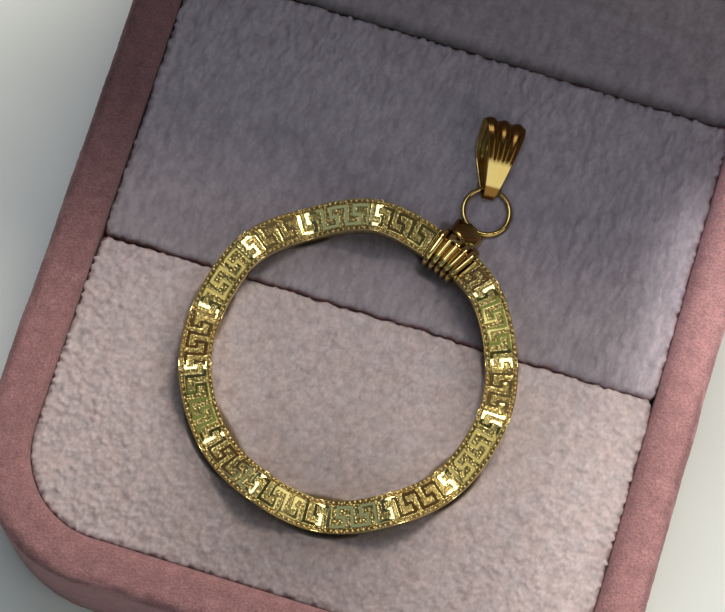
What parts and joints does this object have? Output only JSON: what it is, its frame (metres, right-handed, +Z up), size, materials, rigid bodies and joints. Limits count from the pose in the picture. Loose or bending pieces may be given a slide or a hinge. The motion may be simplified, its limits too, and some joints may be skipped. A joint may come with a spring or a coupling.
{
  "type": "greek key ring pendant in an open velvet jewellery box",
  "caption": "Wavy gold ring pendant with a raised Greek key, ribbed collar, jump ring and fluted bail, lying on the plush pad of an open velvet jewellery box with a hinged lid",
  "frame": {"origin": "middle of the box's flat underside, on the surface that it stands on", "axes": "+Z up from the table, +Y towards the lid's hinge, +X to the right seen from the box's front"},
  "size_m": [0.0642, 0.0927, 0.0847],
  "materials": {
    "yellow_gold": "polished yellow gold",
    "rose_velvet": "short-pile velvet over a rigid shell",
    "pale_plush": "soft plush pad",
    "hinge_steel": "plain wire"
  },
  "bodies": {
    "base": {"box_base": "rose_velvet", "front_pad": "pale_plush", "rear_pad": "pale_plush", "hinge_rod": "hinge_steel", "key_ring": "yellow_gold", "ribbed_collar": "yellow_gold", "jump_ring": "yellow_gold", "bail": "yellow_gold"},
    "lid": {"box_lid": "rose_velvet", "lid_lining": "pale_plush"}
  },
  "joints": [
    {"name": "lid_hinge", "type": "hinge", "parent": "base", "child": "lid", "pos_m": [0, 0.033, 0.0202], "axis": [1, 0, 0], "range_deg": [0, 100]}
  ]
}
